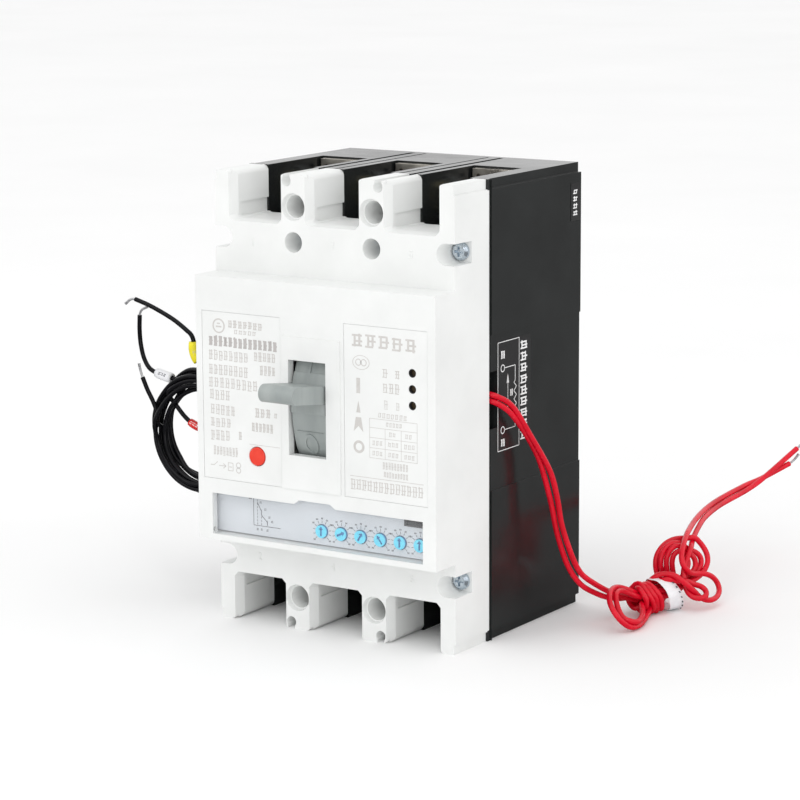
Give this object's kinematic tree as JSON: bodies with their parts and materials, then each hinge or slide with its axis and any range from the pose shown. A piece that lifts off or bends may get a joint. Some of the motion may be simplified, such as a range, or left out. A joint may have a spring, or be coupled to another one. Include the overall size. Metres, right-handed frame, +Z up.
{
  "type": "molded case circuit breaker",
  "caption": "Molded case circuit breaker: black base, white front cover with toggle handle, trip button, setting dials behind a clear window, screw terminals and free leads.",
  "frame": {"origin": "on the standing plane, under the middle of the case's width and half way between the handle's tip and the back plane", "axes": "+Z up, from the load end to the line end; -Y out of the front face; +X to the right seen from the front"},
  "size_m": [0.1969, 0.2202, 0.15],
  "materials": {
    "housing_black": "semi-gloss phenolic moulding",
    "cover_white": "satin white thermoplastic",
    "window_clear": "clear polycarbonate",
    "panel_grey": "satin printed panel",
    "dial_blue": "satin light blue",
    "handle_grey": "satin grey",
    "button_red": "satin signal red",
    "switch_black": "matt black",
    "board_green": "solder mask",
    "led_amber": "unlit light guide",
    "zinc": "bright zinc plate",
    "yellow_zinc": "yellow zinc plate",
    "steel": "bare steel",
    "tinned": "tin plate",
    "copper": "bare copper",
    "silver": "silver alloy",
    "fibre": "vulcanised fibre",
    "carrier_brown": "thermoset moulding",
    "bar_tan": "nylon",
    "coil_blue": "potted winding",
    "label_white": "printed film",
    "label_black": "printed film",
    "lead_red": "PVC insulation",
    "lead_black": "PVC insulation",
    "tie_white": "film wrap",
    "marker_yellow": "PVC sleeve"
  },
  "bodies": {
    "case": {"base_housing": "housing_black", "front_cover": "cover_white", "dial_plate": "panel_grey", "rotary_switch_bodies": "switch_black", "trip_unit_board": "board_green", "trip_unit_housing": "switch_black", "test_port": "switch_black", "status_leds": "led_amber", "trip_button_spring": "steel", "flux_actuator": "steel", "current_transformers": "coil_blue", "mechanism_frame": "yellow_zinc", "mechanism_pins": "steel", "cradle": "steel", "fixed_contact_tips": "silver", "line_conductors": "tinned", "load_conductors": "tinned", "flexible_braids": "copper", "arc_chute_plates": "zinc", "arc_chute_sides": "fibre", "terminal_nuts": "zinc", "terminal_screws": "zinc", "terminal_washers": "zinc", "corner_screws": "zinc", "centre_screws": "zinc", "shunt_coil": "switch_black", "rating_plate": "label_white", "symbol_plate": "label_white", "side_labels": "label_black", "red_lead_1": "lead_red", "red_lead_2": "lead_red", "red_hank": "lead_red", "hank_tie": "tie_white", "black_leads": "lead_black", "black_coil": "lead_black", "marker_tubes": "marker_yellow", "bare_lead_ends": "tinned"},
    "window": {"window_cover": "window_clear"},
    "button": {"trip_button": "button_red"},
    "trip_shaft": {"trip_bar": "bar_tan"},
    "flux_rod": {"flux_plunger": "steel"},
    "shunt_rod": {"shunt_plunger": "steel"},
    "handle_assembly": {"handle": "handle_grey", "handle_yoke": "zinc", "main_springs": "steel"},
    "contact_carrier": {"crossbar": "carrier_brown", "contact_arms": "copper", "moving_contact_tips": "silver"},
    "upper_link_pair": {"upper_links": "steel"},
    "lower_link_pair": {"lower_links": "steel", "toggle_pin": "steel"},
    "dial_1_shaft": {"dial_1": "dial_blue"},
    "dial_2_shaft": {"dial_2": "dial_blue"},
    "dial_3_shaft": {"dial_3": "dial_blue"},
    "dial_4_shaft": {"dial_4": "dial_blue"},
    "dial_5_shaft": {"dial_5": "dial_blue"},
    "dial_6_shaft": {"dial_6": "dial_blue"}
  },
  "joints": [
    {"name": "handle_throw", "type": "hinge", "parent": "case", "child": "handle_assembly", "pos_m": [-0.0021, 0, 0.0768], "axis": [-1, 0, 0], "range_deg": [-25.5, 9.5], "deforming": ["main_springs"]},
    {"name": "contact_swing", "type": "hinge", "parent": "case", "child": "contact_carrier", "pos_m": [0, 0.028, 0.062], "axis": [-1, 0, 0], "range_deg": [-18.5, 6.85]},
    {"name": "upper_link_swing", "type": "hinge", "parent": "case", "child": "upper_link_pair", "pos_m": [0, -0.007, 0.09], "axis": [-1, 0, 0], "range_deg": [-6.4, 16.8]},
    {"name": "toggle_bend", "type": "hinge", "parent": "upper_link_pair", "child": "lower_link_pair", "pos_m": [0, 0.00525, 0.07547], "axis": [-1, 0, 0], "range_deg": [-21.2, 8]},
    {"name": "trip_button_press", "type": "slide", "parent": "case", "child": "button", "axis": [0, 1, 0], "range_m": [0, 0.0025], "stiffness_N_per_m": 150, "springref_m": -0.002, "deforming": ["trip_button_spring"]},
    {"name": "trip_bar_turn", "type": "hinge", "parent": "case", "child": "trip_shaft", "pos_m": [0, 0.008, 0.04], "axis": [-1, 0, 0], "range_deg": [0, 8]},
    {"name": "flux_plunger_strike", "type": "slide", "parent": "case", "child": "flux_rod", "axis": [0, 1, 0], "range_m": [0, 0.003], "stiffness_N_per_m": 60, "springref_m": -0.002},
    {"name": "shunt_plunger_strike", "type": "slide", "parent": "case", "child": "shunt_rod", "axis": [0, 1, 0], "range_m": [0, 0.003], "stiffness_N_per_m": 60, "springref_m": -0.002},
    {"name": "window_open", "type": "hinge", "parent": "case", "child": "window", "pos_m": [0, -0.0349, 0.0328], "axis": [1, 0, 0], "range_deg": [0, 100]},
    {"name": "dial_1_turn", "type": "hinge", "parent": "case", "child": "dial_1_shaft", "pos_m": [0.0002, -0.032, 0.0364], "axis": [0, 1, 0], "range_deg": [-135, 135]},
    {"name": "dial_2_turn", "type": "hinge", "parent": "case", "child": "dial_2_shaft", "pos_m": [0.0077, -0.032, 0.0364], "axis": [0, 1, 0], "range_deg": [-200, 70]},
    {"name": "dial_3_turn", "type": "hinge", "parent": "case", "child": "dial_3_shaft", "pos_m": [0.0152, -0.032, 0.0364], "axis": [0, 1, 0], "range_deg": [-167, 103]},
    {"name": "dial_4_turn", "type": "hinge", "parent": "case", "child": "dial_4_shaft", "pos_m": [0.0227, -0.032, 0.0364], "axis": [0, 1, 0], "range_deg": [-100, 170]},
    {"name": "dial_5_turn", "type": "hinge", "parent": "case", "child": "dial_5_shaft", "pos_m": [0.0302, -0.032, 0.0364], "axis": [0, 1, 0], "range_deg": [-135, 135]},
    {"name": "dial_6_turn", "type": "hinge", "parent": "case", "child": "dial_6_shaft", "pos_m": [0.0377, -0.032, 0.0364], "axis": [0, 1, 0], "range_deg": [-135, 135]}
  ],
  "couplings": [
    {"joint": "contact_swing", "follows": "handle_throw", "ratio": 0.7158},
    {"joint": "upper_link_swing", "follows": "handle_throw", "ratio": -0.643},
    {"joint": "toggle_bend", "follows": "handle_throw", "ratio": 0.817},
    {"joint": "trip_bar_turn", "follows": "trip_button_press", "rad_per_m": 52}
  ]
}
